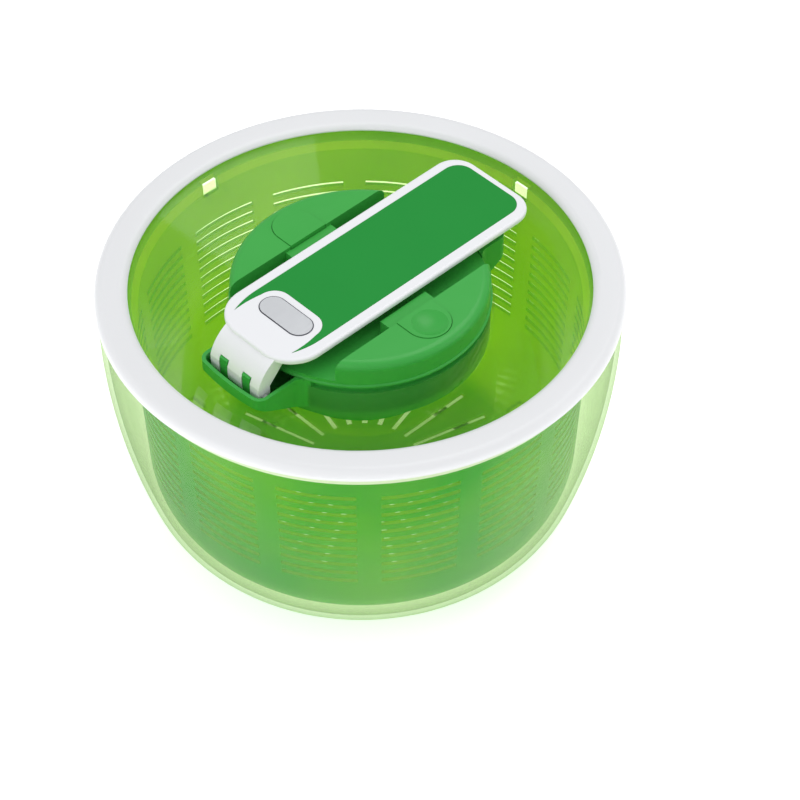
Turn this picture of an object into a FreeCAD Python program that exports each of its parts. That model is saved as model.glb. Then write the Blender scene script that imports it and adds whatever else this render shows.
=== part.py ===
import FreeCAD, Part
import math
import os

import Sketcher

# Salad spinner: a clear bowl, a slotted basket on a centre pivot, and a lid whose pump
# lever turns the basket through a sector, a crown gear, an idler and a one-way clutch.
# Origin: bottom centre of the bowl. +Z up. +X runs along the lever, from its hinge to its free end.
# Millimetres.

DRIVING_DIMENSIONS = {
    # bowl
    "foot_height": 0.8,
    "foot_radius": 73.8,
    "foot_groove_inner": 62.0,
    "foot_groove_outer": 70.0,
    "foot_groove_depth": 1.4,
    "bowl_wall": 2.4,
    "bowl_rim_radius": 129.0,
    "bowl_rim_height": 144.0,
    "bowl_straight_from": 130.8,
    "bowl_side_arc": 341.0,
    "bowl_corner_arc": 42.0,
    "pivot_radius": 4.5,
    "pivot_top": 17.2,
    # basket
    "basket_floor": 13.0,
    "basket_wall": 1.8,
    "basket_base_radius": 80.0,
    "basket_corner": 30.0,
    "basket_top_radius": 114.0,
    "basket_rim_radius": 120.0,
    "basket_rim_top": 141.5,
    "lug_seat_floor": 132.5,
    "slot_first": 50.0,
    "slot_pitch": 6.2,
    "slot_rows": 11,
    "slot_columns": 14,
    "slot_gap": 2.6,
    # lid ring and clear lid
    "ring_radius": 130.0,
    "ring_crest": 150.0,
    "ring_underside": 144.2,
    "ring_inner": 113.7,
    "dish_low": 120.0,
    "dish_high": 146.4,
    "dish_wall": 2.2,
    "neck_inner": 64.3,
    "neck_top": 135.4,
    # drive housing
    "housing_radius": 64.0,
    "housing_wall": 2.0,
    "collar_top": 134.0,
    "cover_foot": 138.4,
    "cover_top": 152.5,
    "channel_half": 37.5,
    "channel_floor": 141.5,
    "shelf_top": 119.0,
    "cover_round": 4.5,
    "lobe_half": 22.3,
    "lobe_wall": 1.9,
    "lobe_corner": 6.0,
    "lobe_bulge": 150.0,
    "lobe_blend": 8.0,
    "hinge_lobe_front": 88.0,
    "latch_lobe_front": 82.0,
    "hinge_lobe_top": 139.0,
    "latch_lobe_top": 142.0,
    "screw_x": 35.0,
    "screw_y": 42.0,
    "tub_radius": 48.0,
    "tub_floor": 100.8,
    # lever and hinge
    "hinge_x": -79.0,
    "hinge_height": 135.0,
    "hinge_pin_radius": 2.0,
    "lever_half": 29.0,
    "lever_end": 94.0,
    "lever_top": 156.0,
    "lever_under": 148.0,
    "lever_skin": 2.5,
    "neck_half": 17.2,
    "lever_edge": 3.6,
    "lever_edge_round": 1.4,
    "lever_near": -73.0,
    "lever_rib_set_back": 7.0,
    "knuckle_radius": 10.0,
    "knuckle_front": 3.4,
    "knuckle_half": 2.6,
    "notch_y": 8.0,
    "tooth_radius": 3.6,
    "lever_stroke": 24.0,
    # gear train
    "module": 1.0,
    "sector_radius": 48.0,
    "cross_teeth": 12,
    "crown_teeth": 24,
    "idler_pinion_teeth": 12,
    "idler_teeth": 38,
    "drive_teeth": 14,
    "idler_y": -3.5,
    "sector_y": 12.0,
    "gear_floor": 101.2,
    "gear_face": 3.0,
    "shaft_radius": 4.0,
    # buttons
    "button_half": 11.5,
    "button_reach": 58.5,
    "button_top": 152.9,
    "button_travel": 3.5,
    "brake_y": 53.0,
    "thumb_dish_radius": 15.0,
    "thumb_dish_depth": 3.0,
    # fits
    "running": 0.06,
    "press": 0.01,
    "free_gap": 0.3,
}

doc = FreeCAD.newDocument("salad_spinner")


class Size:
    """A length that knows both its number and the sheet expression it comes from."""

    def __init__(self, text, value):
        self.text = text
        self.value = value

    def _join(self, sign, other, value):
        return Size(f"({self.text} {sign} {as_size(other).text})", value)

    def __add__(self, other):
        return self._join("+", other, self.value + as_size(other).value)

    def __sub__(self, other):
        return self._join("-", other, self.value - as_size(other).value)

    def __mul__(self, other):
        return self._join("*", other, self.value * as_size(other).value)

    def __truediv__(self, other):
        return self._join("/", other, self.value / as_size(other).value)

    def __radd__(self, other):
        return as_size(other) + self

    def __rsub__(self, other):
        return as_size(other) - self

    def __rmul__(self, other):
        return as_size(other) * self

    def __rtruediv__(self, other):
        return as_size(other) / self

    def __neg__(self):
        return Size(f"(-1 * {self.text})", -self.value)


def as_size(number):
    if isinstance(number, Size):
        return number
    return Size(f"({number:.6f})", float(number))


def root(size):
    return Size(f"sqrt({size.text})", math.sqrt(size.value))


def cosine(angle):
    angle = as_size(angle)
    return Size(f"cos({angle.text})", math.cos(math.radians(angle.value)))


def sine(angle):
    angle = as_size(angle)
    return Size(f"sin({angle.text})", math.sin(math.radians(angle.value)))


def make_sheet():
    """Write the driving dimensions in a spreadsheet and return them by name."""
    sheet = doc.addObject("Spreadsheet::Sheet", "dims")
    sizes = {}
    for row, (name, number) in enumerate(DRIVING_DIMENSIONS.items(), start=1):
        sheet.set(f"A{row}", name.replace("_", " "))
        sheet.set(f"B{row}", str(number))
        sheet.setAlias(f"B{row}", name)
        sizes[name] = Size(f"dims.{name}", float(number))
    doc.recompute()
    return sizes


class Names:
    """Gives the sheet's dimensions as attributes."""

    def __init__(self, sizes):
        self.__dict__.update(sizes)


d = Names(make_sheet())


# ---------------------------------------------------------------- building blocks

def bind(target, path, size):
    """Tie a property to the sheet."""
    target.setExpression(path, as_size(size).text)


def new_body(label):
    body = doc.addObject("PartDesign::Body", label)
    body.Label = label
    return body


def origin_feature(body, role):
    return next(item for item in body.Origin.OriginFeatures if item.Role == role)


def new_sketch(body, plane, offset=0.0):
    """A sketch on one of the body's origin planes, moved along the plane's normal."""
    sketch = body.newObject("Sketcher::SketchObject", f"{body.Name}_sketch")
    sketch.AttachmentSupport = [(origin_feature(body, plane), "")]
    sketch.MapMode = "FlatFace"
    bind(sketch, ".AttachmentOffset.Base.z", offset)
    return sketch


def place_point(sketch, curve, end, point, tag):
    """Fix one end of a curve, or its centre, at bound coordinates."""
    for axis, coordinate in zip(("X", "Y"), point):
        size = as_size(coordinate)
        rule = Sketcher.Constraint(f"Distance{axis}", -1, 1, curve, end, size.value)
        index = sketch.addConstraint(rule)
        sketch.renameConstraint(index, f"{tag}{axis}")
        bind(sketch, f"Constraints.{tag}{axis}", size)


def add_outline(sketch, outline):
    """Draw a closed outline.

    Each corner is (x, y), or (x, y, radius) when an arc leads to it from the corner before:
    a positive radius turns anticlockwise.
    """
    first = sketch.GeometryCount
    flat = [(as_size(c[0]).value, as_size(c[1]).value) for c in outline]
    ends = []
    for number, corner in enumerate(outline):
        start = FreeCAD.Vector(*flat[number - 1], 0)
        finish = FreeCAD.Vector(*flat[number], 0)
        if len(corner) == 2:
            sketch.addGeometry(Part.LineSegment(start, finish))
            ends.append((1, 2))
            continue
        radius = as_size(corner[2]).value
        chord = finish - start
        rise = math.sqrt(max(0.0, radius ** 2 - chord.Length ** 2 / 4))
        left = FreeCAD.Vector(-chord.y, chord.x, 0).normalize()
        centre = (start + finish) / 2 + left * math.copysign(rise, radius)
        low, high = (start, finish) if radius > 0 else (finish, start)
        angles = [math.atan2(p.y - centre.y, p.x - centre.x) for p in (low, high)]
        circle = Part.Circle(centre, FreeCAD.Vector(0, 0, 1), abs(radius))
        sketch.addGeometry(Part.ArcOfCircle(circle, angles[0], angles[1]))
        ends.append((1, 2) if radius > 0 else (2, 1))
    total = len(outline)
    for number, corner in enumerate(outline):
        curve = first + number
        after = first + (number + 1) % total
        after_start = ends[(number + 1) % total][0]
        sketch.addConstraint(Sketcher.Constraint("Coincident", curve, ends[number][1], after, after_start))
        place_point(sketch, curve, ends[number][1], corner[:2], f"p{curve}")
        if len(corner) == 3 and is_half_turn(flat[number - 1], flat[number], corner[2]):
            across = "Y" if abs(flat[number][1] - flat[number - 1][1]) < 1e-6 else "X"
            size = as_size(corner["XY".index(across)])
            rule = Sketcher.Constraint(f"Distance{across}", -1, 1, curve, 3, size.value)
            index = sketch.addConstraint(rule)
            sketch.renameConstraint(index, f"mid{curve}")
            bind(sketch, f"Constraints.mid{curve}", size)
        elif len(corner) == 3:
            size = as_size(corner[2])
            size = size if size.value > 0 else -size
            index = sketch.addConstraint(Sketcher.Constraint("Radius", curve, size.value))
            sketch.renameConstraint(index, f"arc{curve}")
            bind(sketch, f"Constraints.arc{curve}", size)


def is_half_turn(start, finish, radius):
    return abs(math.dist(start, finish) - 2 * abs(as_size(radius).value)) < 1e-6


def add_circle(sketch, centre, radius):
    size = as_size(radius)
    middle = FreeCAD.Vector(as_size(centre[0]).value, as_size(centre[1]).value, 0)
    curve = sketch.addGeometry(Part.Circle(middle, FreeCAD.Vector(0, 0, 1), size.value))
    place_point(sketch, curve, 3, centre, f"c{curve}")
    index = sketch.addConstraint(Sketcher.Constraint("Radius", curve, size.value))
    sketch.renameConstraint(index, f"radius{curve}")
    bind(sketch, f"Constraints.radius{curve}", size)


def finish_feature(body, feature, sketch):
    feature.Profile = sketch
    sketch.Visibility = False
    body.Tip = feature
    return feature


def turned(body, outline, angle=360.0, removes=False, both_ways=False):
    """Turn an outline of (radius, height) about the body's Z axis."""
    sketch = new_sketch(body, "XZ_Plane")
    add_outline(sketch, outline)
    kind = "PartDesign::Groove" if removes else "PartDesign::Revolution"
    feature = body.newObject(kind, f"{body.Name}_turn")
    feature.ReferenceAxis = (sketch, ["V_Axis"])
    bind(feature, "Angle", angle)
    feature.Midplane = both_ways
    return finish_feature(body, feature, sketch)


def raised(body, shape, low, high, plane="XY_Plane", removes=False):
    """Pad or pocket a shape between two levels measured along the plane's normal.

    The shape is an outline, or (centre, radius) for a circle, or a list of such circles.
    """
    low, high = as_size(low), as_size(high)
    sketch = new_sketch(body, plane, low)
    if isinstance(shape, tuple):
        add_circle(sketch, *shape)
    elif isinstance(shape[0][0], tuple):
        for circle in shape:
            add_circle(sketch, *circle)
    else:
        add_outline(sketch, shape)
    kind = "PartDesign::Pocket" if removes else "PartDesign::Pad"
    feature = body.newObject(kind, f"{body.Name}_{'cut' if removes else 'pad'}")
    finish_feature(body, feature, sketch)
    bind(feature, "Length", high - low)
    if removes:
        feature.Reversed = True
    return feature


def lowered(body, shape, low, high, plane="XY_Plane"):
    """Cut a shape away between two levels."""
    return raised(body, shape, low, high, plane, removes=True)


def pattern(body, feature, count, angle=360.0, plane="XY_Plane"):
    """Repeat a feature about the normal of an origin plane through the body's origin."""
    axis = {"XY_Plane": "Z_Axis", "XZ_Plane": "Y_Axis"}[plane]
    ring = body.newObject("PartDesign::PolarPattern", f"{body.Name}_ring")
    ring.Originals = [feature]
    ring.Axis = (origin_feature(body, axis), [""])
    bind(ring, "Angle", angle)
    bind(ring, "Occurrences", count)
    body.Tip = ring
    return ring


def rounded(body, feature, level, radius):
    """Round every edge of a feature that lies at one height."""
    doc.recompute()
    height = as_size(level).value
    names = [f"Edge{number}" for number, edge in enumerate(feature.Shape.Edges, start=1)
             if max(abs(edge.BoundBox.ZMin - height), abs(edge.BoundBox.ZMax - height)) < 1e-4]
    fillet = body.newObject("PartDesign::Fillet", f"{body.Name}_round")
    fillet.Base = (feature, names)
    bind(fillet, "Radius", radius)
    body.Tip = fillet
    return fillet


def move_to(target, x=0.0, y=0.0, z=0.0):
    for axis, size in zip("xyz", (x, y, z)):
        bind(target, f".Placement.Base.{axis}", size)


def box(x0, x1, y0, y1):
    """The four corners of an upright rectangle."""
    return [(x0, y0), (x1, y0), (x1, y1), (x0, y1)]


def combine(kind, label, first, second):
    """A Part boolean of two objects."""
    result = doc.addObject(kind, label)
    result.Label = label
    result.Base = first
    result.Tool = second
    return result


# ---------------------------------------------------------------- places worked out

cross_drop = root(
    (d.sector_radius + d.cross_teeth * d.module / 2) * (d.sector_radius + d.cross_teeth * d.module / 2)
    - (root((d.idler_teeth + d.drive_teeth) * (d.idler_teeth + d.drive_teeth) * d.module * d.module / 4
            - d.idler_y * d.idler_y) + d.hinge_x)
    * (root((d.idler_teeth + d.drive_teeth) * (d.idler_teeth + d.drive_teeth) * d.module * d.module / 4
            - d.idler_y * d.idler_y) + d.hinge_x)
)
idler_x = -root(
    (d.idler_teeth + d.drive_teeth) * (d.idler_teeth + d.drive_teeth) * d.module * d.module / 4
    - d.idler_y * d.idler_y
)
cross_height = d.hinge_height - cross_drop
cross_tilt = math.degrees(math.asin(cross_drop.value / (d.sector_radius.value + 6.0)))
idler_bearing = math.degrees(math.atan2(-d.idler_y.value, -idler_x.value))
gear_top = d.gear_floor + d.gear_face
dish_slope = (d.dish_high - d.dish_low) / (d.ring_inner - 0.9 - (d.neck_inner + 1.6))


def dish_level(radius, lift=0.0):
    """Height of the clear lid's upper face at a radius."""
    return d.dish_low + (radius - (d.neck_inner + 1.6)) * dish_slope + lift


# ---------------------------------------------------------------- bowl

def make_bowl():
    """The clear bowl, with the pivot peg that the basket turns on."""
    body = new_body("bowl")
    side_centre_x = d.bowl_rim_radius - d.bowl_side_arc
    reach = d.bowl_side_arc - d.bowl_corner_arc
    fall = d.bowl_straight_from - d.foot_height - d.bowl_corner_arc
    corner_x = side_centre_x + root(reach * reach - fall * fall)
    along_x = (corner_x - side_centre_x) / reach
    along_z = fall / reach
    inner_side = d.bowl_side_arc - d.bowl_wall
    inner_corner = d.bowl_corner_arc - d.bowl_wall
    inner_rim = d.bowl_rim_radius - d.bowl_wall
    floor = d.foot_height + d.bowl_wall
    groove_roof = d.foot_height + d.foot_groove_depth
    hub_foot = 14.0
    hub_shoulder = 11.0
    hub_height = 8.0
    turned(body, [
        (0.0, d.foot_height),
        (d.foot_groove_inner, d.foot_height),
        (d.foot_groove_inner, groove_roof),
        (d.foot_groove_outer, groove_roof),
        (d.foot_groove_outer, d.foot_height),
        (corner_x, d.foot_height),
        (side_centre_x + d.bowl_side_arc * along_x, d.bowl_straight_from - d.bowl_side_arc * along_z,
         d.bowl_corner_arc),
        (d.bowl_rim_radius, d.bowl_straight_from, d.bowl_side_arc),
        (d.bowl_rim_radius, d.bowl_rim_height),
        (inner_rim, d.bowl_rim_height),
        (inner_rim, d.bowl_straight_from),
        (side_centre_x + inner_side * along_x, d.bowl_straight_from - inner_side * along_z, -inner_side),
        (corner_x, floor, -inner_corner),
        (hub_foot, floor),
        (hub_shoulder, hub_height),
        (d.pivot_radius, hub_height),
        (d.pivot_radius, d.pivot_top - 1.0),
        (d.pivot_radius - 1.0, d.pivot_top),
        (0.0, d.pivot_top),
    ])
    return body


def make_non_slip_ring():
    """The rubber ring that the bowl stands on, seated in the foot groove."""
    body = new_body("non_slip_ring")
    side_gap = 0.1
    corner = 0.5
    inner = d.foot_groove_inner + side_gap
    outer = d.foot_groove_outer - side_gap
    top = d.foot_height + d.foot_groove_depth
    turned(body, [(inner + corner, 0.0, corner), (outer - corner, 0.0), (outer, corner, corner), (outer, top),
                  (inner, top), (inner, corner)])
    return body


# ---------------------------------------------------------------- basket

def make_basket():
    """The slotted basket with its pivot socket, its rim and four seats for the cover's lugs."""
    body = new_body("basket")
    socket_mouth = 9.5
    socket_half = 9.0
    socket_dome = 20.0
    lip = 3.0
    bore = d.pivot_radius + d.running
    outer_low = d.basket_base_radius + d.basket_corner
    inner_low = outer_low - d.basket_wall
    inner_corner = d.basket_corner - d.basket_wall
    shoulder = d.basket_floor + d.basket_corner
    floor = d.basket_floor + d.basket_wall
    lip_underside = d.basket_rim_top - lip
    inner_top = d.basket_top_radius - d.basket_wall
    turned(body, [
        (bore, socket_mouth),
        (socket_half, socket_mouth),
        (socket_half + 1.0, d.basket_floor),
        (d.basket_base_radius, d.basket_floor),
        (outer_low, shoulder, d.basket_corner),
        (d.basket_top_radius, lip_underside),
        (d.basket_rim_radius, lip_underside),
        (d.basket_rim_radius, d.basket_rim_top),
        (inner_top, d.basket_rim_top),
        (inner_low, shoulder),
        (d.basket_base_radius, floor, -inner_corner),
        (socket_half + 1.5, floor),
        (socket_half - 1.0, socket_dome),
        (0.0, socket_dome),
        (0.0, d.pivot_top + 2 * d.free_gap),
        (bore, d.pivot_top + 2 * d.free_gap),
    ])
    lug_seat = lowered(body, box(inner_top - 1.0, d.basket_top_radius + 1.2, -5.0, 5.0),
                       d.lug_seat_floor, d.basket_rim_top + 1.0)
    pattern(body, lug_seat, 4)
    drain_from, drain_to, drain_half = 30.0, 74.0, 1.5
    drains = 24
    drain_shape = box(drain_from, drain_to, -drain_half, drain_half)
    drain = lowered(body, drain_shape, d.basket_floor - 1.0, floor + 1.0)
    pattern(body, drain, drains)
    rib_angle = 6.0
    slot_inner = 100.0
    opening = 360.0 / d.slot_columns - rib_angle
    slot = turned(body, box(slot_inner, d.basket_top_radius + 2.0, d.slot_first, d.slot_first + d.slot_gap),
                  opening, removes=True)
    grid = body.newObject("PartDesign::MultiTransform", "basket_grid")
    rows = body.newObject("PartDesign::LinearPattern", "basket_rows")
    rows.Direction = (origin_feature(body, "Z_Axis"), [""])
    bind(rows, "Length", d.slot_pitch * (d.slot_rows - 1))
    bind(rows, "Occurrences", d.slot_rows)
    columns = body.newObject("PartDesign::PolarPattern", "basket_columns")
    columns.Axis = (origin_feature(body, "Z_Axis"), [""])
    columns.Angle = 360.0
    bind(columns, "Occurrences", d.slot_columns)
    grid.Originals = [slot]
    grid.Transformations = [rows, columns]
    body.Tip = grid
    return body


def make_basket_cover():
    """The clear plate that closes the basket and turns it by four lugs."""
    body = new_body("basket_cover")
    bore = d.shaft_radius + d.press
    hub_under, hub_radius = 92.2, 9.0
    plate_under, plate_top = 93.3, 95.5
    flat_radius, rim_radius = 51.0, 109.0
    rim_under, rim_top = 136.3, 138.6
    turned(body, [
        (bore, hub_under), (hub_radius, hub_under), (hub_radius, plate_under), (flat_radius, plate_under),
        (rim_radius, rim_under), (rim_radius, rim_top), (flat_radius - 0.8, plate_top), (bore, plate_top),
    ])
    lug_low, lug_high, lug_half = 134.0, 138.0, 4.4
    lug_shape = box(rim_radius - 4.5, d.basket_top_radius + 0.4, -lug_half, lug_half)
    lug = raised(body, lug_shape, lug_low, lug_high)
    pattern(body, lug, 4)
    return body


# ---------------------------------------------------------------- lid

def make_lid_ring():
    """The white ring, with a spigot that drops inside the bowl's rim."""
    body = new_body("lid_ring")
    web_under = 146.7
    spigot_inner, spigot_outer, spigot_foot = 124.2, 126.2, 138.0
    outer_round = 4.4
    crown_arc = 60.0
    inner_round = 5.0
    turned(body, [
        (d.ring_inner, web_under),
        (spigot_inner, web_under),
        (spigot_inner, spigot_foot),
        (spigot_outer, spigot_foot),
        (spigot_outer, d.ring_underside),
        (d.ring_radius, d.ring_underside),
        (d.ring_radius, d.ring_crest - outer_round),
        (d.ring_radius - outer_round, d.ring_crest, outer_round),
        (d.ring_inner + 4.0, d.ring_crest - 0.4, crown_arc),
        (d.ring_inner, d.ring_crest - 2.6, inner_round),
    ])
    return body


def make_lid_panel():
    """The clear dished lid with a short neck round the drive housing."""
    body = new_body("lid_panel")
    neck_outer = d.neck_inner + 1.6
    rim = d.ring_inner - 0.9
    flange = 118.0
    lobe_gap_angle = 48.0
    turned(body, [
        (d.neck_inner, d.dish_low - 3.0),
        (neck_outer, d.dish_low - d.dish_wall),
        (rim + 0.6, d.dish_high - d.dish_wall),
        (flange, d.dish_high - d.dish_wall),
        (flange, d.dish_high),
        (rim, d.dish_high),
        (neck_outer, d.dish_low),
        (neck_outer, d.neck_top),
        (d.neck_inner, d.neck_top),
    ])
    for side in (-1.0, 1.0):
        turned(body, box(side * (d.neck_inner - 0.5), side * (neck_outer + 0.02), d.dish_low + 0.2,
                         d.neck_top + 1.0), lobe_gap_angle, removes=True, both_ways=True)
    return body


# ---------------------------------------------------------------- drive housing

def lobe_outline(side, inset=0.0):
    """Plan of a lobe with a gently bowed front; side is -1 at the hinge and +1 at the latch."""
    front = d.hinge_lobe_front if side < 0 else d.latch_lobe_front
    bow_centre = front - d.lobe_bulge
    corner_y = d.lobe_half - d.lobe_corner
    corner_reach = d.lobe_bulge - d.lobe_corner
    corner_x = bow_centre + root(corner_reach * corner_reach - corner_y * corner_y)
    bow = d.lobe_bulge - inset
    corner = d.lobe_corner - inset
    end_x = bow_centre + (corner_x - bow_centre) * bow / corner_reach
    end_y = corner_y * bow / corner_reach
    half = d.lobe_half - inset
    return [(side * 52.0, -half), (side * corner_x, -half), (side * end_x, -end_y, corner * side),
            (side * end_x, end_y, bow * side), (side * corner_x, half, corner * side), (side * 52.0, half)]


def flared_lobe_outline(side):
    """The lobe's plan with a hollow blend into the round collar at each side."""
    swing = d.housing_radius + d.lobe_blend
    blend_y = d.lobe_half + d.lobe_blend
    blend_x = root(swing * swing - blend_y * blend_y)
    meet_x = blend_x * d.housing_radius / swing
    meet_y = blend_y * d.housing_radius / swing
    hollow = -side * d.lobe_blend
    nose = lobe_outline(side)[1:-1]
    return [(side * 52.0, -meet_y), (side * meet_x, -meet_y), (side * blend_x, -d.lobe_half, hollow), *nose,
            (side * blend_x, d.lobe_half), (side * meet_x, meet_y, hollow), (side * 52.0, meet_y)]


def make_drive_base():
    """The tub that holds the gears, with its collar and the two lobes."""
    lobe_under = 120.2
    lobe_reach = 100.0
    open_top = 150.0
    raw = new_body("drive_base_shell")
    outer = d.housing_radius
    wall = d.housing_wall
    shelf = d.shelf_top - wall
    floor_under = d.tub_floor - 2.2
    lip = outer - 2 * wall
    turned(raw, [
        (8.0 + d.press, floor_under), (d.tub_radius, floor_under), (d.tub_radius, shelf), (outer, shelf),
        (outer, d.collar_top), (outer - wall - 0.3, d.collar_top),
        (outer - wall - 0.3, d.channel_floor - 2.1),
        (lip, d.channel_floor - 2.1), (lip, d.shelf_top),
        (d.tub_radius - wall, d.shelf_top), (d.tub_radius - wall, d.tub_floor), (8.0 + d.press, d.tub_floor),
    ])
    sector_well = box(-55.0, -44.0, 7.0, 17.0)
    raised(raw, sector_well, 103.0, shelf + 1.0)
    for side, top in ((-1.0, d.hinge_lobe_top), (1.0, d.latch_lobe_top)):
        raised(raw, flared_lobe_outline(side), lobe_under, top)

    below = new_body("lobe_trim")
    turned(below, [(d.neck_inner - 0.1, 110.0), (lobe_reach, 110.0),
                   (lobe_reach, dish_level(lobe_reach, 0.25)),
                   (d.neck_inner + 1.6, dish_level(d.neck_inner + 1.6, 0.25)),
                   (d.neck_inner - 0.1, d.dish_low + 0.25)])
    middle = new_body("housing_hollow")
    turned(middle, [(0.0, d.shelf_top + 0.4), (lip, d.shelf_top + 0.4), (lip, d.cover_foot + 0.6),
                    (outer - wall - 0.3, d.cover_foot + 0.6), (outer - wall - 0.3, d.cover_foot - 0.3),
                    (outer + 1.1, d.cover_foot - 0.3), (outer + 1.1, d.cover_foot + 1.5),
                    (outer + 0.3, d.cover_foot + 1.5), (outer + 0.3, open_top), (0.0, open_top)])
    hollows = new_body("lobe_plan")
    for side in (-1.0, 1.0):
        raised(hollows, lobe_outline(side, d.lobe_wall), 118.0, open_top)
    above = new_body("lobe_room")
    lobe_floor = lobe_under + 1.4
    turned(above, [(40.0, lobe_floor), (d.neck_inner + 1.6, lobe_floor),
                   (lobe_reach, dish_level(lobe_reach, 1.4)),
                   (lobe_reach, open_top + 1.0), (40.0, open_top + 1.0)])
    cavity = combine("Part::Common", "lobe_cavity", hollows, above)
    trimmed = combine("Part::Cut", "base_trimmed", raw, below)
    cleared = combine("Part::Cut", "base_cleared", trimmed, middle)
    opened = combine("Part::Cut", "base_opened", cleared, cavity)

    ears = new_body("hinge_ears")
    knuckle_back = 4.0
    knuckle_back_rise = root(d.knuckle_radius * d.knuckle_radius - knuckle_back ** 2)
    knuckle_front_rise = root(d.knuckle_radius * d.knuckle_radius - d.knuckle_front * d.knuckle_front)
    for side in (-1.0, 1.0):
        knuckle = [(d.hinge_x - d.knuckle_front, 122.0), (d.hinge_x + knuckle_back, 122.0),
                   (d.hinge_x + knuckle_back, d.hinge_height + knuckle_back_rise),
                   (d.hinge_x - d.knuckle_front, d.hinge_height + knuckle_front_rise, d.knuckle_radius)]
        middle_y = side * d.notch_y
        raised(ears, knuckle, middle_y - d.knuckle_half, middle_y + d.knuckle_half, "XZ_Plane")
    ears_trimmed = combine("Part::Cut", "hinge_ears_trimmed", ears, below)
    joined = combine("Part::Fuse", "base_joined", opened, ears_trimmed)

    bores = new_body("base_bores")
    raised(bores, ((d.hinge_x, d.hinge_height), d.hinge_pin_radius + d.press), -21.5, 21.5, "XZ_Plane")
    raised(bores, box(-53.2, -40.0, 8.8, 15.2), 104.8, 123.0)
    raised(bores, ((idler_x, d.idler_y), 2.0 + d.press), 90.0, 110.0)
    raised(bores, ((0.0, d.brake_y), 3.2), 110.0, 125.0)
    for x_side in (-1.0, 1.0):
        for y_side in (-1.0, 1.0):
            raised(bores, ((x_side * d.screw_x, y_side * d.screw_y), 1.6), 110.0, 125.0)
    return combine("Part::Cut", "drive_base", joined, bores)


def make_drive_cover():
    """The round top with the channel that the lever swings in and the holes for the two buttons."""
    body = new_body("drive_cover")
    outer = d.housing_radius
    inner = outer - d.housing_wall
    ceiling = d.cover_top - 2.2
    bead = 0.8
    turned(body, [(0.0, d.cover_foot), (outer + bead, d.cover_foot), (outer + bead, d.cover_foot + 0.7),
                  (outer, d.cover_foot + 1.3), (outer, d.cover_top - d.cover_round),
                  (outer - d.cover_round, d.cover_top, d.cover_round), (0.0, d.cover_top)])
    lowered(body, box(-70.0, 70.0, -d.channel_half, d.channel_half), d.channel_floor, d.cover_top + 5.0)
    turned(body, box(0.0, inner, d.cover_foot - 1.0, d.channel_floor - 1.7), removes=True)
    web = d.channel_half + 2.0
    boss_half, boss_face = 15.0, 29.8
    half_chord = root(inner * inner - web * web)
    for side in (-1.0, 1.0):
        segment = [(side * half_chord, side * web), (-side * half_chord, side * web, inner)]
        lowered(body, segment, d.cover_foot - 1.0, ceiling)
        boss = box(-boss_half, boss_half, side * boss_face, side * (web - 0.5))
        raised(body, boss, d.channel_floor - 0.5, d.cover_top - 2.0)
    for side in (-1.0, 1.0):
        lowered(body, button_outline(side, -d.free_gap), d.cover_foot - 1.0, d.cover_top + 1.0)
    sector_slot = box(-40.6, -28.8, 8.6, 15.4)
    lowered(body, sector_slot, d.cover_foot - 1.0, d.channel_floor + 1.0)
    for x_side in (-1.0, 1.0):
        for y_side in (-1.0, 1.0):
            centre = (x_side * d.screw_x, y_side * d.screw_y)
            raised(body, (centre, 3.5), d.shelf_top + 0.3, ceiling + 0.5)
            lowered(body, (centre, 1.5 + d.press), d.shelf_top, d.shelf_top + 14.0)
    return body


def button_outline(side, inset):
    """D-shaped plan of a button, flat towards the lever; side is the sign of Y."""
    half = d.button_half - inset
    flat = side * (d.channel_half + inset)
    shoulder = side * (d.button_reach - d.button_half)
    turn = half * side
    return [(-half, flat), (half, flat), (half, shoulder), (-half, shoulder, turn)]


def make_housing_screws():
    body = new_body("housing_screws")
    shelf = d.shelf_top - d.housing_wall
    for x_side in (-1.0, 1.0):
        for y_side in (-1.0, 1.0):
            centre = (x_side * d.screw_x, y_side * d.screw_y)
            raised(body, (centre, 2.9), shelf - 1.8, shelf)
            raised(body, (centre, 1.5), shelf - 0.2, shelf + 14.0)
    return body


# ---------------------------------------------------------------- gear train

def tooth(root_radius, pitch_radius, width_factor, reach, angle):
    """Plan of one straight-flanked tooth whose middle lies at an angle in degrees."""
    half_pitch = width_factor * d.module
    steps = [(root_radius - 0.5, 1.45), (pitch_radius - 1.0 * d.module, 1.35), (pitch_radius, 1.0),
             (pitch_radius + reach * d.module, 0.45)]
    right = [(along, -half_pitch * factor) for along, factor in steps]
    left = [(along, half_pitch * factor) for along, factor in reversed(steps)]
    turn_x, turn_y = cosine(angle), sine(angle)
    return [(along * turn_x - across * turn_y, along * turn_y + across * turn_x)
            for along, across in right + left]


def spur(body, teeth, low, high, angle):
    """A spur gear about the body's Z axis with the middle of one tooth at an angle."""
    pitch_radius = teeth * d.module / 2
    root_radius = pitch_radius - 1.15 * d.module
    raised(body, ((0.0, 0.0), root_radius), low, high)
    one = raised(body, tooth(root_radius, pitch_radius, 0.56, 0.85, angle), low, high)
    pattern(body, one, teeth)


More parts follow.
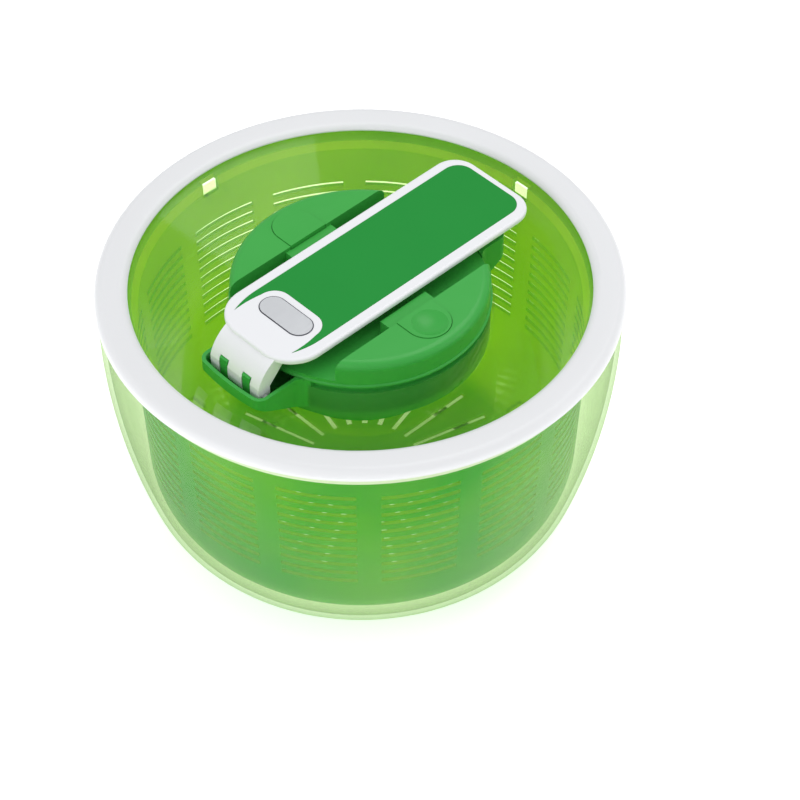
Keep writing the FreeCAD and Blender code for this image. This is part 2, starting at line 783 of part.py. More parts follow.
def make_crown_gear():
    """Pinion and crown on the cross pin; the body's Z axis points along -Y."""
    body = new_body("crown_gear")
    middle = -d.sector_y
    mesh_angle = 180.0 - cross_tilt
    gap = 180.0 / d.cross_teeth.value
    spur(body, d.cross_teeth, middle - 3.0, middle + 3.0, mesh_angle + gap)
    disc_back = d.idler_y + 9.3
    disc_face = disc_back - 2.0
    crown_pitch = d.crown_teeth * d.module / 2
    raised(body, ((0.0, 0.0), 4.5), middle + 2.9, -(disc_back - 0.5))
    raised(body, ((0.0, 0.0), crown_pitch + 1.5), -disc_back, -disc_face)
    facing = [(crown_pitch - 1.5, -0.5), (crown_pitch + 1.4, -0.5), (crown_pitch + 1.4, 0.5),
              (crown_pitch - 1.5, 0.5)]
    turned_tooth = [(y, -x) for x, y in facing]
    one = raised(body, turned_tooth, -disc_face - 0.1, -disc_face + 2.2)
    pattern(body, one, d.crown_teeth)
    raised(body, ((0.0, 0.0), 4.0), -disc_face - 0.1, 9.6)
    lowered(body, ((0.0, 0.0), 2.5 + d.running), -30.0, 30.0)
    body.Placement.Rotation = FreeCAD.Rotation(FreeCAD.Vector(1, 0, 0), 90)
    move_to(body, idler_x, 0.0, cross_height)
    return body


def make_cross_pin():
    body = new_body("cross_pin")
    raised(body, ((idler_x, cross_height), 2.5), -19.0, 20.0, "XZ_Plane")
    return body


def make_idler_gear():
    body = new_body("idler_gear")
    spur(body, d.idler_teeth, d.gear_floor, gear_top, idler_bearing)
    crown_side = 90.0 + 180.0 / d.idler_pinion_teeth.value
    raised(body, ((0.0, 0.0), 5.0), gear_top - 0.1, 110.6)
    spur(body, d.idler_pinion_teeth, 110.5, 115.8, crown_side)
    lowered(body, ((0.0, 0.0), 2.0 + d.running), 90.0, 130.0)
    move_to(body, idler_x, d.idler_y, 0.0)
    return body


def make_idler_pin():
    body = new_body("idler_pin")
    raised(body, ((idler_x, d.idler_y), 2.0), 98.6, 119.0)
    return body


def make_drive_pinion():
    """The last pinion, with the flange and posts that carry the two pawls."""
    body = new_body("drive_pinion")
    spur(body, d.drive_teeth, d.gear_floor, gear_top, idler_bearing + 180.0 + 180.0 / d.drive_teeth.value)
    raised(body, ((0.0, 0.0), 5.4), gear_top - 0.1, 109.4)
    raised(body, ((0.0, 0.0), 11.0), 105.0, 106.4)
    raised(body, [((8.2, 0.0), 1.2), ((-8.2, 0.0), 1.2)], 106.3, 109.4)
    lowered(body, ((0.0, 0.0), d.shaft_radius + d.running), 90.0, 120.0)
    return body


def make_pawl(label, side):
    """A flat pawl on its post, with its tip folded clear of the ratchet teeth."""
    body = new_body(label)
    outline = [(side * 9.6, side * -1.2), (side * 10.2, side * 1.6), (side * 9.6, side * 6.6),
               (side * 8.6, side * 7.4), (side * 8.3, side * 6.2), (side * 6.7, side * 1.6),
               (side * 6.8, side * -1.2)]
    raised(body, outline, 106.7, 109.3)
    lowered(body, ((side * 8.2, 0.0), 1.2 + d.running), 100.0, 112.0)
    return body


def make_ratchet_cup():
    body = new_body("ratchet_cup")
    turned(body, [
        (13.4, 106.7), (16.0, 106.7), (16.0, 112.4), (d.shaft_radius + d.press, 112.4),
        (d.shaft_radius + d.press, 109.9), (13.4, 109.9),
    ])
    saw = [(14.0, -1.6), (14.0, 1.6), (12.5, 1.4)]
    one = raised(body, saw, 106.7, 110.2)
    pattern(body, one, 16)
    return body


def make_output_shaft():
    body = new_body("output_shaft")
    raised(body, ((0.0, 0.0), d.shaft_radius), 92.2, 118.8)
    lowered(body, ((0.0, 0.0), 1.5 + d.press), 90.0, 101.6)
    return body


def make_cover_screw():
    body = new_body("cover_screw")
    turned(body, [(0.0, 90.2), (5.0, 90.2), (6.0, 91.0), (6.0, 92.2), (1.5, 92.2), (1.5, 101.0),
                  (0.0, 101.0)])
    return body


def make_spindle_bush():
    body = new_body("spindle_bush")
    bore = d.shaft_radius + d.running
    floor_under = d.tub_floor - 2.2
    turned(body, [(bore, floor_under - 1.2), (10.0, floor_under - 1.2),
                  (10.0, floor_under), (8.0, floor_under),
                  (8.0, d.tub_floor), (bore, d.tub_floor)])
    return body


def make_gear_bridge():
    """The C-shaped bridge that holds the tops of the shafts and both ends of the cross pin."""
    body = new_body("gear_bridge")
    low, high = 116.5, 119.0
    plan = [(18.0, -17.0), (18.0, 20.0), (-32.0, 20.0), (-32.0, 16.0), (-11.4, 16.0), (-11.4, 1.4),
            (-32.0, 1.4), (-32.0, -13.0), (14.0, -17.0)]
    raised(body, plan, low, high)
    for post in ((14.0, 15.0), (13.5, -14.5), (-30.0, 23.5)):
        raised(body, (post, 2.5), d.tub_floor, high)
    raised(body, box(-33.0, -27.0, 18.0, 26.0), low, high)
    for front in (-13.0, 16.4):
        ear = box(idler_x - 4.0, idler_x + 4.0, low + 1.0, cross_height + 4.0)
        raised(body, ear, -(front + 3.0), -front, "XZ_Plane")
    lowered(body, ((0.0, 0.0), d.shaft_radius + d.running), 110.0, 125.0)
    lowered(body, ((idler_x, d.idler_y), 2.0 + d.press), 110.0, 125.0)
    lowered(body, ((idler_x, cross_height), 2.5 + d.press), -30.0, 30.0, "XZ_Plane")
    return body


# ---------------------------------------------------------------- lever

def lever_outline(inset):
    """Plan of the lever's broad part."""
    half = d.lever_half - inset
    end = d.lever_end - inset
    near = d.lever_near + inset
    corner = 13.0 - inset
    shoulder = 19.0 - inset
    return [
        (near + shoulder, -half, shoulder),
        (end - corner, -half),
        (end, -half + corner, corner),
        (end, half - corner),
        (end - corner, half, corner),
        (near + shoulder, half),
        (near, half - shoulder, shoulder),
        (near, -half + shoulder),
    ]


def grip_outline(inset):
    """Plan of the inlay, with its round-cornered cut-out for the badge pad and two pointed tips."""
    half = 23.3 - inset
    end = 90.5 - inset
    corner = 9.0
    tab_front = -38.0 + inset
    tab_half = 19.3 + inset
    tab_corner = 9.0
    return [
        (-47.0, -half, 45.0), (end - corner, -half), (end, -half + corner, corner), (end, half - corner),
        (end - corner, half, corner), (-47.0, half), (-63.8 + inset, half - 3.0, 45.0),
        (tab_front - tab_corner, tab_half, -60.0), (tab_front, tab_half - tab_corner, -tab_corner),
        (tab_front, tab_corner - tab_half), (tab_front - tab_corner, -tab_half, -tab_corner),
        (-63.8 + inset, 3.0 - half, -60.0),
    ]


def badge_outline(inset):
    half = 6.6 - inset
    side = 9.2
    return [(-48.7 + half, -side, half), (-48.7 + half, side), (-48.7 - half, side, half),
            (-48.7 - half, -side)]


def make_lever_frame():
    """Thin-edged plate with a stiffening rib set back underneath and a three-toothed neck."""
    body = new_body("lever_frame")
    edge_under = d.lever_top - d.lever_edge
    plate = raised(body, lever_outline(0.0), edge_under, d.lever_top)
    crest = rounded(body, plate, d.lever_top, d.lever_edge_round)
    rounded(body, crest, edge_under, d.lever_edge_round)
    rib = d.lever_rib_set_back
    raised(body, lever_outline(rib), d.lever_under, d.lever_top - 1.0)
    lowered(body, lever_outline(rib + 2.4), d.lever_under - 1.0, d.lever_top - d.lever_skin)
    x, z = d.hinge_x, d.hinge_height
    notch_half = d.knuckle_half + 0.4
    slope_run = 14.0
    slope_fall = 14.5
    front = x - d.tooth_radius
    back = x + d.tooth_radius
    neck = [(-52.0, d.lever_top - 2.0), (-52.0, d.lever_top), (front + slope_run, d.lever_top),
            (front, d.lever_top - slope_fall, 22.0), (front, z), (back, z, d.tooth_radius), (back, z + 5.0),
            (x + 12.0, z + 14.0)]
    raised(body, neck, -d.neck_half, d.neck_half, "XZ_Plane")
    lowered(body, grip_outline(0.0), d.lever_top - 1.2, d.lever_top + 1.0)
    lowered(body, badge_outline(0.0), d.lever_top - 0.8, d.lever_top + 1.0)
    for side in (-1.0, 1.0):
        lowered(body, ((x, z), d.knuckle_radius + d.free_gap), side * d.notch_y - notch_half,
                side * d.notch_y + notch_half, "XZ_Plane")
    lowered(body, ((x, z), d.hinge_pin_radius + d.running), -30.0, 30.0, "XZ_Plane")
    skin = d.lever_top - d.lever_skin + 0.1
    catch = [(70.0, skin), (70.0, 136.0), (68.2, 135.4), (68.2, 133.6), (73.0, 133.6), (73.0, skin)]
    raised(body, catch, -6.0, 6.0, "XZ_Plane")
    lowered(body, [((-36.0, 4.0), 1.3), ((-44.0, 4.0), 1.3)], d.lever_under, d.lever_top - 1.6)
    return body


def make_lever_grip():
    body = new_body("lever_grip")
    raised(body, grip_outline(0.08), d.lever_top - 1.15, d.lever_top)
    return body


def make_badge_plate():
    body = new_body("badge_plate")
    raised(body, badge_outline(0.1), d.lever_top - 0.78, d.lever_top + 0.3)
    return body


def make_sector_gear():
    """Toothed sector under the lever, drawn about the hinge axis."""
    body = new_body("sector_gear")
    low_angle = -cross_tilt - d.lever_stroke.value - 3.5
    high_angle = 22.0
    outer = d.sector_radius - 1.2
    inner = d.sector_radius - 5.0
    arc = [(inner * cosine(low_angle), inner * sine(low_angle), -inner),
           (outer * cosine(low_angle), outer * sine(low_angle)),
           (outer * cosine(high_angle), outer * sine(high_angle), outer),
           (inner * cosine(high_angle), inner * sine(high_angle))]
    half = 2.5
    raised(body, arc, -(d.sector_y + half), -(d.sector_y - half), "XZ_Plane")
    pitch = math.degrees(d.module.value * math.pi / d.sector_radius.value)
    below = math.floor((d.lever_stroke.value + 3.0) / pitch)
    count = below + 3
    first = -cross_tilt + 2 * pitch
    one = raised(body, tooth(outer, d.sector_radius, 0.56, 0.85, first), -(d.sector_y + half),
                 -(d.sector_y - half), "XZ_Plane")
    pattern(body, one, count, (count - 1) * pitch, "XZ_Plane")
    flange_top = d.lever_top - d.lever_skin - 0.05 - d.hinge_height
    raised(body, box(31.0, 47.0, 1.0, d.sector_y + half), flange_top - 2.0, flange_top)
    lowered(body, [((43.0, 4.0), 1.3), ((35.0, 4.0), 1.3)], flange_top - 4.0, flange_top + 1.0)
    move_to(body, d.hinge_x, 0.0, d.hinge_height)
    return body


def make_sector_screws():
    body = new_body("sector_screws")
    top = d.lever_top - d.lever_skin
    for along in (-36.0, -44.0):
        raised(body, ((along, 4.0), 2.3), top - 3.6, top - 2.05)
        raised(body, ((along, 4.0), 1.2), top - 2.2, top + 0.8)
    return body


def make_hinge_pin():
    body = new_body("hinge_pin")
    raised(body, ((d.hinge_x, d.hinge_height), d.hinge_pin_radius), -21.4, 21.4, "XZ_Plane")
    return body


def make_coil(label, wire, radius, height, pitch, x, y, z):
    """A compression spring standing on a level."""
    body = new_body(label)
    sketch = new_sketch(body, "XZ_Plane")
    add_circle(sketch, (radius, wire), wire)
    helix = body.newObject("PartDesign::AdditiveHelix", f"{label}_helix")
    helix.Profile = sketch
    helix.ReferenceAxis = (sketch, ["V_Axis"])
    helix.Mode = 0
    bind(helix, "Pitch", pitch)
    bind(helix, "Height", height)
    body.Tip = helix
    sketch.Visibility = False
    move_to(body, x, y, z)
    return body


# ---------------------------------------------------------------- buttons and latch

def make_brake_button():
    body = new_body("brake_button")
    raised(body, button_outline(1.0, 0.0), d.cover_top - 4.0, d.button_top)
    raised(body, ((0.0, d.brake_y), 2.9), 107.0, d.cover_top - 3.5)
    raised(body, ((0.0, d.brake_y), 4.6), 136.2, 137.6)
    return body


def make_brake_pad():
    body = new_body("brake_pad")
    turned(body, [(0.0, 104.4), (3.4, 104.4), (4.0, 105.2), (4.0, 107.0), (0.0, 107.0)])
    move_to(body, 0.0, d.brake_y, 0.0)
    return body


def make_release_button():
    """The release button, scooped for a thumb tip."""
    blank = new_body("release_blank")
    raised(blank, button_outline(-1.0, 0.0), d.cover_top - 4.0, d.button_top)
    raised(blank, ((0.0, -50.0), 2.9), 134.6, d.cover_top - 3.5)
    dish = new_body("thumb_dish")
    above = 0.5
    climb = d.thumb_dish_radius - d.thumb_dish_depth - above
    width = root(d.thumb_dish_radius * d.thumb_dish_radius - climb * climb)
    turned(dish, [(0.0, d.button_top - d.thumb_dish_depth),
                  (width, d.button_top + above, d.thumb_dish_radius),
                  (0.0, d.button_top + above)])
    move_to(dish, 0.0, -48.5, 0.0)
    return combine("Part::Cut", "release_button", blank, dish)


def make_latch_slide():
    """The bar that runs from the release button to the hook at the lever's free end."""
    body = new_body("latch_slide")
    bar = [(-12.0, -53.5), (6.0, -53.5), (66.0, -13.0), (67.4, -7.0), (67.4, 7.0), (61.0, 7.0), (61.0, -9.0),
           (4.0, -46.5), (-12.0, -46.5)]
    raised(body, bar, 127.0, 130.0)
    raised(body, box(63.0, 67.4, -7.0, 7.0), 129.9, 138.0)
    ramp = [(-12.0, 129.9), (0.6, 129.9), (-5.4, 136.0), (-12.0, 136.0)]
    raised(body, ramp, 46.7, 53.3, "XZ_Plane")
    return body


# ---------------------------------------------------------------- build and export

def build_all():
    return [
        make_bowl(), make_non_slip_ring(), make_basket(), make_lid_ring(), make_lid_panel(),
        make_drive_base(),
        make_drive_cover(), make_housing_screws(), make_hinge_pin(), make_gear_bridge(), make_cross_pin(),
        make_crown_gear(), make_idler_pin(), make_idler_gear(), make_spindle_bush(), make_drive_pinion(),
        make_pawl("pawl_front", 1.0), make_pawl("pawl_back", -1.0), make_ratchet_cup(), make_output_shaft(),
        make_basket_cover(), make_cover_screw(), make_lever_frame(), make_lever_grip(), make_badge_plate(),
        make_sector_gear(), make_sector_screws(), make_brake_button(), make_brake_pad(),
        make_release_button(),
        make_latch_slide(),
        make_coil("brake_spring", 0.4, 4.0, 16.2, 2.2, 0.0, d.brake_y, d.shelf_top + 0.05),
        make_coil("release_spring", 0.35, 2.0, 28.4, 3.2, 0.0, -56.9, d.shelf_top + 0.05),
        make_coil("lever_spring", 0.5, 4.5, 10.6, 2.6, -46.0, -14.0, d.channel_floor + 0.05),
    ]


def export(parts):
    """Stop on any failed object, then write one file for each sub-part."""
    doc.recompute()
    for item in doc.Objects:
        if {"Invalid", "Error"} & set(item.State):
            raise RuntimeError(f"{item.Label} failed: {item.State}")
    os.makedirs("parts", exist_ok=True)
    for item in parts:
        if item.Shape.isNull() or not item.Shape.isValid() or not item.Shape.Solids:
            raise RuntimeError(f"{item.Label} has no valid shape")
        item.Shape.exportStep(f"parts/{item.Label}.step")
        print(f"{item.Label}: {len(item.Shape.Solids)} solid(s), {item.Shape.Volume / 1000:.2f} cm3")


export(build_all())
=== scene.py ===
import math

import bpy
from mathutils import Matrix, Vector


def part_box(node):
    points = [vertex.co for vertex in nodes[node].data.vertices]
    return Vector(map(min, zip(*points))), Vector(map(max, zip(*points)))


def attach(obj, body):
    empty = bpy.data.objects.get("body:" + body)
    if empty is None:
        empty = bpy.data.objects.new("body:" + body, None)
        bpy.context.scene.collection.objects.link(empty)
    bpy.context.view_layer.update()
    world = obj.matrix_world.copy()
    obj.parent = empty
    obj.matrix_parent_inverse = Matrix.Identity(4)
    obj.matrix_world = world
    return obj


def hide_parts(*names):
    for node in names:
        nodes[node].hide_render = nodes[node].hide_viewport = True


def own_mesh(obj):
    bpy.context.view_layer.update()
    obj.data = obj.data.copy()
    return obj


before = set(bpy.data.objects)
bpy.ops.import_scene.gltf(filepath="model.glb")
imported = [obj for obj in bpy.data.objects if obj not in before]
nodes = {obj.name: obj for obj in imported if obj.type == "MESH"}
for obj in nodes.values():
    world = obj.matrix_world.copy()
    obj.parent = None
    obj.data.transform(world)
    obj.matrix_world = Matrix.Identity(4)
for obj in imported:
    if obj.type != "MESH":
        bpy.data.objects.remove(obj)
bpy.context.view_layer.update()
scene = bpy.context.scene


# ---------------------------------------------------------------- node helpers

def new_material(name):
    """An empty node material; returns it with its node tree."""
    material = bpy.data.materials.new(name)
    material.use_nodes = True
    tree = material.node_tree
    tree.nodes.clear()
    return material, tree


def add(tree, kind, **inputs):
    """Add a shader node and set its sockets by name, with spaces written as underscores."""
    node = tree.nodes.new(kind)
    for key, value in inputs.items():
        node.inputs[key.replace("_", " ")].default_value = value
    return node


def link(tree, source, output, target, socket):
    """Join two nodes; a socket is named, or numbered where both inputs share a name."""
    tree.links.new(source.outputs[output], target.inputs[socket])


def ramp(tree, source, output, low, high, low_value, high_value):
    """Map a noise value to a range."""
    node = tree.nodes.new("ShaderNodeMapRange")
    node.inputs["From Min"].default_value = low
    node.inputs["From Max"].default_value = high
    node.inputs["To Min"].default_value = low_value
    node.inputs["To Max"].default_value = high_value
    tree.links.new(source.outputs[output], node.inputs["Value"])
    return node


def noise(tree, scale, detail=3.0, roughness=0.5):
    """Noise in object space, so that it keeps its place on the piece."""
    where = tree.nodes.new("ShaderNodeTexCoord")
    node = add(tree, "ShaderNodeTexNoise", Scale=scale, Detail=detail, Roughness=roughness)
    link(tree, where, "Object", node, "Vector")
    return node


def mixed_colour(tree, low, high, source, output):
    """A colour that runs from low to high with another node's value."""
    node = tree.nodes.new("ShaderNodeMix")
    node.data_type = "RGBA"
    node.inputs["A"].default_value = (*low, 1)
    node.inputs["B"].default_value = (*high, 1)
    link(tree, source, output, node, "Factor")
    return next(socket for socket in node.outputs if socket.type == "RGBA")


def mixed_shader(tree, first, first_output, second, second_output, amount):
    """Two shaders mixed by a mapped value."""
    node = tree.nodes.new("ShaderNodeMixShader")
    link(tree, amount, "Result", node, "Fac")
    link(tree, first, first_output, node, 1)
    link(tree, second, second_output, node, 2)
    return node


def moulded(name, colour, roughness=0.35, spread=0.08, grain=2600.0, grain_depth=0.00002, specular=0.4,
            shade=0.06):
    """Opaque moulded plastic: slow colour drift, uneven gloss and a fine tool texture."""
    material, tree = new_material(name)
    shader = add(tree, "ShaderNodeBsdfPrincipled", IOR=1.49, Specular_IOR_Level=specular)
    out = tree.nodes.new("ShaderNodeOutputMaterial")
    drift = noise(tree, 22.0, 4.0)
    darker = [c * (1 - shade) for c in colour]
    lighter = [min(1.0, c * (1 + shade)) for c in colour]
    tree.links.new(mixed_colour(tree, darker, lighter, drift, "Fac"), shader.inputs["Base Color"])
    smear = noise(tree, 90.0, 6.0, 0.6)
    gloss = ramp(tree, smear, "Fac", 0.3, 0.7, roughness - spread, roughness + spread)
    link(tree, gloss, "Result", shader, "Roughness")
    fine = noise(tree, grain, 2.0)
    bump = add(tree, "ShaderNodeBump", Strength=0.35, Distance=grain_depth)
    link(tree, fine, "Fac", bump, "Height")
    link(tree, bump, "Normal", shader, "Normal")
    link(tree, shader, "BSDF", out, "Surface")
    return material


def clear_plastic(name, face_tint, edge_tint, haze=0.0, gleam=0.3):
    """Thin clear moulding: see-through, greener and glossier where it is seen edge on."""
    material, tree = new_material(name)
    out = tree.nodes.new("ShaderNodeOutputMaterial")
    facing = add(tree, "ShaderNodeLayerWeight", Blend=0.3)
    depth = ramp(tree, facing, "Facing", 0.3, 1.0, 0.0, 1.0)
    tint = mixed_colour(tree, face_tint, edge_tint, depth, "Result")
    see = tree.nodes.new("ShaderNodeBsdfTransparent")
    tree.links.new(tint, see.inputs["Color"])
    milk = add(tree, "ShaderNodeBsdfDiffuse", Color=(0.66, 0.9, 0.4, 1))
    gloss = add(tree, "ShaderNodeBsdfGlossy", Color=(1, 1, 1, 1))
    smear = noise(tree, 60.0, 5.0, 0.6)
    blur = ramp(tree, smear, "Fac", 0.3, 0.7, 0.02, 0.08)
    link(tree, blur, "Result", gloss, "Roughness")
    wave = noise(tree, 30.0, 2.0)
    bump = add(tree, "ShaderNodeBump", Strength=0.2, Distance=0.0003)
    link(tree, wave, "Fac", bump, "Height")
    link(tree, bump, "Normal", gloss, "Normal")
    cloud = ramp(tree, facing, "Facing", 0.4, 1.0, haze, haze + 0.05)
    body = mixed_shader(tree, see, "BSDF", milk, "BSDF", cloud)
    shine = ramp(tree, facing, "Facing", 0.25, 1.0, 0.012, gleam)
    surface = mixed_shader(tree, body, "Shader", gloss, "BSDF", shine)
    link(tree, surface, "Shader", out, "Surface")
    return material


def lime_plastic(name):
    """Translucent lime basket, lit through from behind, with painted light: inner faces painted lighter and
    yellower than the outer ones, and a painted glow in the basket's own tint.
    """
    material, tree = new_material(name)
    out = tree.nodes.new("ShaderNodeOutputMaterial")
    where = tree.nodes.new("ShaderNodeTexCoord")
    flat = tree.nodes.new("ShaderNodeVectorMath")
    flat.operation = "MULTIPLY"
    flat.inputs[1].default_value = (1, 1, 0)
    link(tree, where, "Object", flat, "Vector")
    away = tree.nodes.new("ShaderNodeVectorMath")
    away.operation = "NORMALIZE"
    link(tree, flat, "Vector", away, "Vector")
    facing_out = tree.nodes.new("ShaderNodeVectorMath")
    facing_out.operation = "DOT_PRODUCT"
    link(tree, away, "Vector", facing_out, 0)
    link(tree, where, "Normal", facing_out, 1)
    # Positive where the wall faces away from the axis, so the inner faces take the lighter, yellower tint:
    # painted light on the inside of the basket, added to a random tone drift.
    inner_painted_light = ramp(tree, facing_out, "Value", 0.3, -0.3, 0.0, 0.7)
    drift = noise(tree, 9.0, 3.0)
    spread = ramp(tree, drift, "Fac", 0.35, 0.65, 0.0, 0.22)
    painted_light_and_drift = tree.nodes.new("ShaderNodeMath")
    link(tree, inner_painted_light, "Result", painted_light_and_drift, 0)
    link(tree, spread, "Result", painted_light_and_drift, 1)
    tint = mixed_colour(tree, (0.04, 0.42, 0.018), (0.7, 0.86, 0.1), painted_light_and_drift, "Value")
    # Painted glow: the shell gives off light in the basket's tint (emission 0.24), though the basket is no
    # lamp.
    shell = add(tree, "ShaderNodeBsdfPrincipled", IOR=1.49, Specular_IOR_Level=0.25, Emission_Strength=0.24)
    tree.links.new(tint, shell.inputs["Base Color"])
    tree.links.new(tint, shell.inputs["Emission Color"])
    smear = noise(tree, 70.0, 5.0, 0.6)
    gloss = ramp(tree, smear, "Fac", 0.3, 0.7, 0.14, 0.28)
    link(tree, gloss, "Result", shell, "Roughness")
    fine = noise(tree, 900.0, 2.0)
    bump = add(tree, "ShaderNodeBump", Strength=0.3, Distance=0.00005)
    link(tree, fine, "Fac", bump, "Height")
    link(tree, bump, "Normal", shell, "Normal")
    glow = tree.nodes.new("ShaderNodeBsdfTranslucent")
    tree.links.new(tint, glow.inputs["Color"])
    solid = tree.nodes.new("ShaderNodeMixShader")
    solid.inputs[0].default_value = 0.4
    link(tree, shell, "BSDF", solid, 1)
    link(tree, glow, "BSDF", solid, 2)
    see = add(tree, "ShaderNodeBsdfTransparent", Color=(0.36, 0.85, 0.1, 1))
    mix = tree.nodes.new("ShaderNodeMixShader")
    mix.inputs[0].default_value = 0.86
    link(tree, see, "BSDF", mix, 1)
    link(tree, solid, "Shader", mix, 2)
    link(tree, mix, "Shader", out, "Surface")
    return material


def metal(name, colour, roughness=0.3, stretch=(1, 1, 1), scale=300.0, relief=0.2, spread=0.1):
    """Metal with a drawn or brushed grain along one direction."""
    material, tree = new_material(name)
    out = tree.nodes.new("ShaderNodeOutputMaterial")
    shader = add(tree, "ShaderNodeBsdfPrincipled", Metallic=1.0, Base_Color=(*colour, 1))
    where = tree.nodes.new("ShaderNodeTexCoord")
    place = tree.nodes.new("ShaderNodeMapping")
    place.inputs["Scale"].default_value = stretch
    link(tree, where, "Object", place, "Vector")
    grain = add(tree, "ShaderNodeTexNoise", Scale=scale, Detail=4.0)
    link(tree, place, "Vector", grain, "Vector")
    gloss = ramp(tree, grain, "Fac", 0.3, 0.7, roughness - spread, roughness + spread)
    link(tree, gloss, "Result", shader, "Roughness")
    bump = add(tree, "ShaderNodeBump", Strength=relief, Distance=0.00002)
    link(tree, grain, "Fac", bump, "Height")
    link(tree, bump, "Normal", shader, "Normal")
    link(tree, shader, "BSDF", out, "Surface")
    return material


CLEAR_BOWL = clear_plastic("clear_bowl", (0.94, 0.98, 0.87), (0.54, 0.67, 0.40), 0.0, 0.2)
CLEAR_COVER = clear_plastic("clear_cover", (0.9, 0.98, 0.74), (0.8, 0.93, 0.6), 0.01, 0.3)
CLEAR_LID = clear_plastic("clear_lid", (0.99, 1.0, 0.98), (0.9, 0.97, 0.84), 0.01, 0.35)
LIME = lime_plastic("lime_basket")
WHITE = moulded("white_plastic", (0.86, 0.86, 0.87), 0.33, 0.03, grain_depth=0.000006, shade=0.01)
LEVER_WHITE = moulded("lever_white", (0.93, 0.93, 0.95), 0.3, 0.03, grain_depth=0.000006, shade=0.008)
GREEN = moulded("green_plastic", (0.05, 0.42, 0.065), 0.34, 0.07, specular=0.35)
GRIP = moulded("green_grip", (0.018, 0.3, 0.045), 0.5, 0.06, 4200.0, 0.00004, specular=0.12)
RUBBER = moulded("grey_rubber", (0.55, 0.56, 0.56), 0.75, 0.08)
BLACK_RUBBER = moulded("black_rubber", (0.02, 0.02, 0.02), 0.8, 0.08)
ACETAL = moulded("acetal", (0.78, 0.77, 0.72), 0.42, 0.07)
NYLON = moulded("nylon", (0.05, 0.05, 0.055), 0.5, 0.08)
STEEL = metal("steel", (0.62, 0.62, 0.64), 0.3)
SPRING = metal("spring_steel", (0.5, 0.5, 0.52), 0.34)
BADGE = metal("badge_metal", (0.8, 0.81, 0.83), 0.34, (1, 12, 1), 150.0, 0.02, 0.03)
BADGE_RIM = metal("badge_rim", (0.09, 0.09, 0.11), 0.35)

NODE_MATERIALS = {
    "bowl": CLEAR_BOWL, "lid_panel": CLEAR_LID, "basket_cover": CLEAR_COVER, "basket": LIME,
    "lid_ring": WHITE, "lever_frame": LEVER_WHITE, "lever_grip": GRIP, "badge_plate": BADGE,
    "drive_base": GREEN, "drive_cover": GREEN, "brake_button": GREEN, "release_button": GREEN,
    "non_slip_ring": RUBBER, "brake_pad": BLACK_RUBBER, "spindle_bush": NYLON,
    "housing_screws": STEEL, "hinge_pin": STEEL, "cross_pin": STEEL, "idler_pin": STEEL,
    "output_shaft": STEEL, "cover_screw": STEEL, "sector_screws": STEEL,
    "release_spring": SPRING, "brake_spring": SPRING, "lever_spring": SPRING,
}


def dress_nodes():
    """Give every node of the frame its material; what isn't listed is natural acetal."""
    for name, item in nodes.items():
        item.data.materials.clear()
        item.data.materials.append(NODE_MATERIALS.get(name, ACETAL))


# ---------------------------------------------------------------- pieces made here

def mesh_piece(name, points, faces, material, body):
    """A smooth-shaded mesh that rides on a body."""
    mesh = bpy.data.meshes.new(name)
    mesh.from_pydata(points, [], faces)
    mesh.update()
    for face in mesh.polygons:
        face.use_smooth = True
    mesh.materials.append(material)
    item = bpy.data.objects.new(name, mesh)
    scene.collection.objects.link(item)
    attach(item, body)
    return item


def oval_loop(half_x, half_y, count):
    """Points round an upright stadium that is longer along Y, with the direction out of it."""
    straight = half_y - half_x
    loop = []
    for number in range(count):
        angle = 2 * math.pi * number / count
        shift = straight if math.sin(angle) >= 0 else -straight
        loop.append(((half_x * math.cos(angle), shift + half_x * math.sin(angle)),
                     (math.cos(angle), math.sin(angle))))
    return loop


def make_badge_rim():
    """Thin dark bead that frames the badge, half sunk in the lever's face."""
    low, high = map(Vector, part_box("badge_plate"))
    centre = (low + high) / 2
    half_x, half_y = (high.x - low.x) / 2, (high.y - low.y) / 2
    bead = 0.00038
    overlap = 0.4
    flatness = 0.6
    proud = 0.00004
    around, section = 96, 12
    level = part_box("lever_grip")[1][2] + proud
    points = []
    for (x, y), (out_x, out_y) in oval_loop(half_x + bead * overlap, half_y + bead * overlap, around):
        for step in range(section):
            turn = 2 * math.pi * step / section
            reach = bead * math.cos(turn)
            points.append((centre.x + x + out_x * reach, centre.y + y + out_y * reach,
                           level + bead * flatness * math.sin(turn)))
    faces = [(a * section + b, (a + 1) % around * section + b,
              (a + 1) % around * section + (b + 1) % section, a * section + (b + 1) % section)
             for a in range(around) for b in range(section)]
    rim = mesh_piece("badge_rim", points, faces, BADGE_RIM, "lever")
    return rim


SPRING_WIRE = 0.0004
SPRING_PITCH = 0.0022
SPRING_STEPS_PER_TURN = 32


def make_button_spring(node):
    """Coil that stands in for a button's spring, riding on the lid."""
    low, high = map(Vector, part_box(node))
    wire = SPRING_WIRE
    radius = (high.x - low.x) / 2 - wire
    height = high.z - low.z - 2 * wire
    turns = height / SPRING_PITCH
    along, section = int(turns * SPRING_STEPS_PER_TURN), 10
    points = []
    for step in range(along + 1):
        part = step / along
        angle = 2 * math.pi * turns * part
        for corner in range(section):
            around = 2 * math.pi * corner / section
            reach = radius + wire * math.cos(around)
            points.append(((low.x + high.x) / 2 + reach * math.cos(angle),
                           (low.y + high.y) / 2 + reach * math.sin(angle),
                           low.z + wire + height * part + wire * math.sin(around)))
    faces = [(a * section + b, (a + 1) * section + b,
              (a + 1) * section + (b + 1) % section, a * section + (b + 1) % section)
             for a in range(along) for b in range(section)]
    faces.append(tuple(range(section)))
    faces.append(tuple(reversed(range(along * section, (along + 1) * section))))
    coil = mesh_piece(node + "_coil", points, faces, SPRING, "lid")
    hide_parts(node)
    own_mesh(coil)
    return coil


# ---------------------------------------------------------------- stage

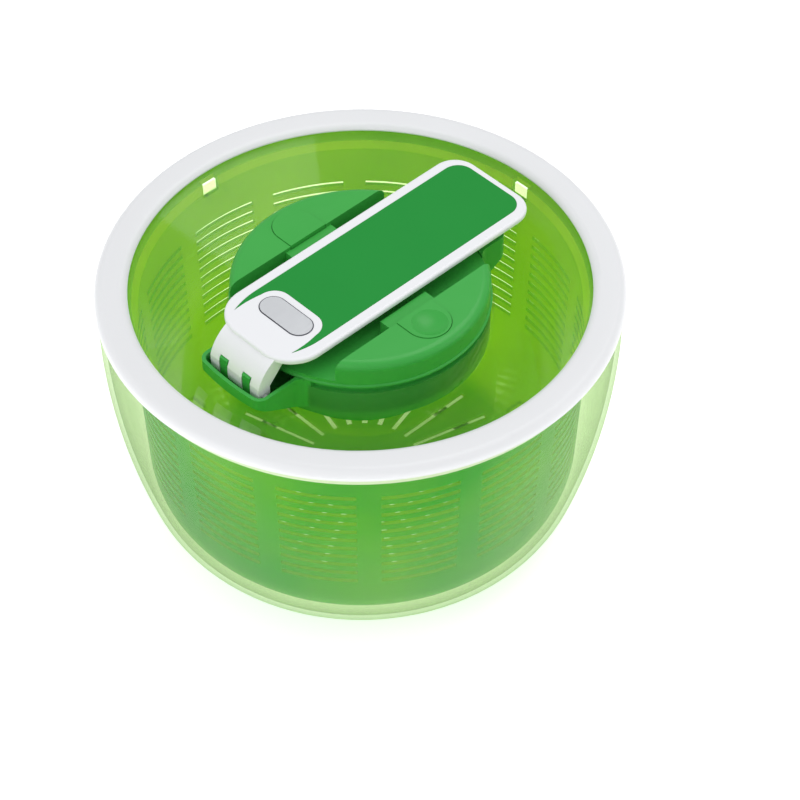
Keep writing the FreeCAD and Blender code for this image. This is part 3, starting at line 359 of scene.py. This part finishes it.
PALE_SKY = (0.96, 0.98, 1.0, 1)
SKY_STRENGTH = 0.57
FLOOR_COLOUR = (0.93, 0.93, 0.93, 1)
FLOOR_GLOW = 0.6
FLOOR_SIZE = 40.0
CAMERA_BEARING = math.radians(-42.8)
CAMERA_TILT = math.radians(43.3)
CAMERA_DISTANCE = 1.3045
RIM_LEVEL = 0.150
LENS = 120.2
AIM = Vector((0.00613, -0.02147, 0.075))


def make_camera():
    """The camera, aimed from the front left and above."""
    back = Vector((
        math.sin(CAMERA_BEARING) * math.cos(CAMERA_TILT),
        -math.cos(CAMERA_BEARING) * math.cos(CAMERA_TILT),
        math.sin(CAMERA_TILT),
    ))
    camera = bpy.data.objects.new("camera", bpy.data.cameras.new("camera"))
    camera.data.lens = LENS
    camera.data.sensor_width = 36.0
    camera.data.clip_end = 50.0
    camera.location = Vector((0, 0, RIM_LEVEL)) + back * CAMERA_DISTANCE
    camera.rotation_euler = (AIM - camera.location).to_track_quat("-Z", "Y").to_euler()
    scene.collection.objects.link(camera)
    scene.camera = camera
    return camera


def make_area_light(name, place, size, power, target=(0, 0, 0.08)):
    """A soft rectangular light aimed at the middle of the object."""
    light = bpy.data.lights.new(name, "AREA")
    light.shape = "RECTANGLE"
    light.size, light.size_y = size
    light.energy = power
    item = bpy.data.objects.new(name, light)
    item.location = place
    item.rotation_euler = (Vector(target) - item.location).to_track_quat("-Z", "Y").to_euler()
    scene.collection.objects.link(item)
    return item


def make_stage(camera):
    """Pale floor, white surroundings and soft lights placed from the camera's side."""
    world = bpy.data.worlds.new("studio")
    world.use_nodes = True
    world.node_tree.nodes["Background"].inputs["Color"].default_value = PALE_SKY
    world.node_tree.nodes["Background"].inputs["Strength"].default_value = SKY_STRENGTH
    scene.world = world
    scene.view_settings.view_transform = "Standard"

    floor_material, tree = new_material("pale_floor")
    out = tree.nodes.new("ShaderNodeOutputMaterial")
    matte = add(tree, "ShaderNodeBsdfPrincipled", Roughness=0.9, Base_Color=FLOOR_COLOUR,
                Emission_Color=(1, 1, 1, 1), Emission_Strength=FLOOR_GLOW)
    link(tree, matte, "BSDF", out, "Surface")
    bpy.ops.mesh.primitive_plane_add(size=FLOOR_SIZE, location=(0, 0, 0))
    floor = bpy.context.object
    floor.name = "floor"
    floor.data.materials.append(floor_material)

    toward = camera.location.copy()
    toward.z = 0
    toward.normalize()
    right = Vector((-toward.y, toward.x, 0))
    make_area_light("key", toward * -0.5 + right * 0.5 + Vector((0, 0, 1.7)), (1.3, 1.3), 10.5)
    make_area_light("fill", toward * 1.2 - right * 0.9 + Vector((0, 0, 1.3)), (1.6, 1.2), 4.0)
    make_area_light("side", toward * 0.2 + right * 1.3 + Vector((0, 0, 0.6)), (0.5, 1.0), 1.5)
    make_area_light("hinge_side", Vector((-1.3, 0.1, 0.55)), (0.9, 0.7), 2.8)


dress_nodes()
make_badge_rim()
make_button_spring("brake_spring")
make_button_spring("release_spring")
make_stage(make_camera())
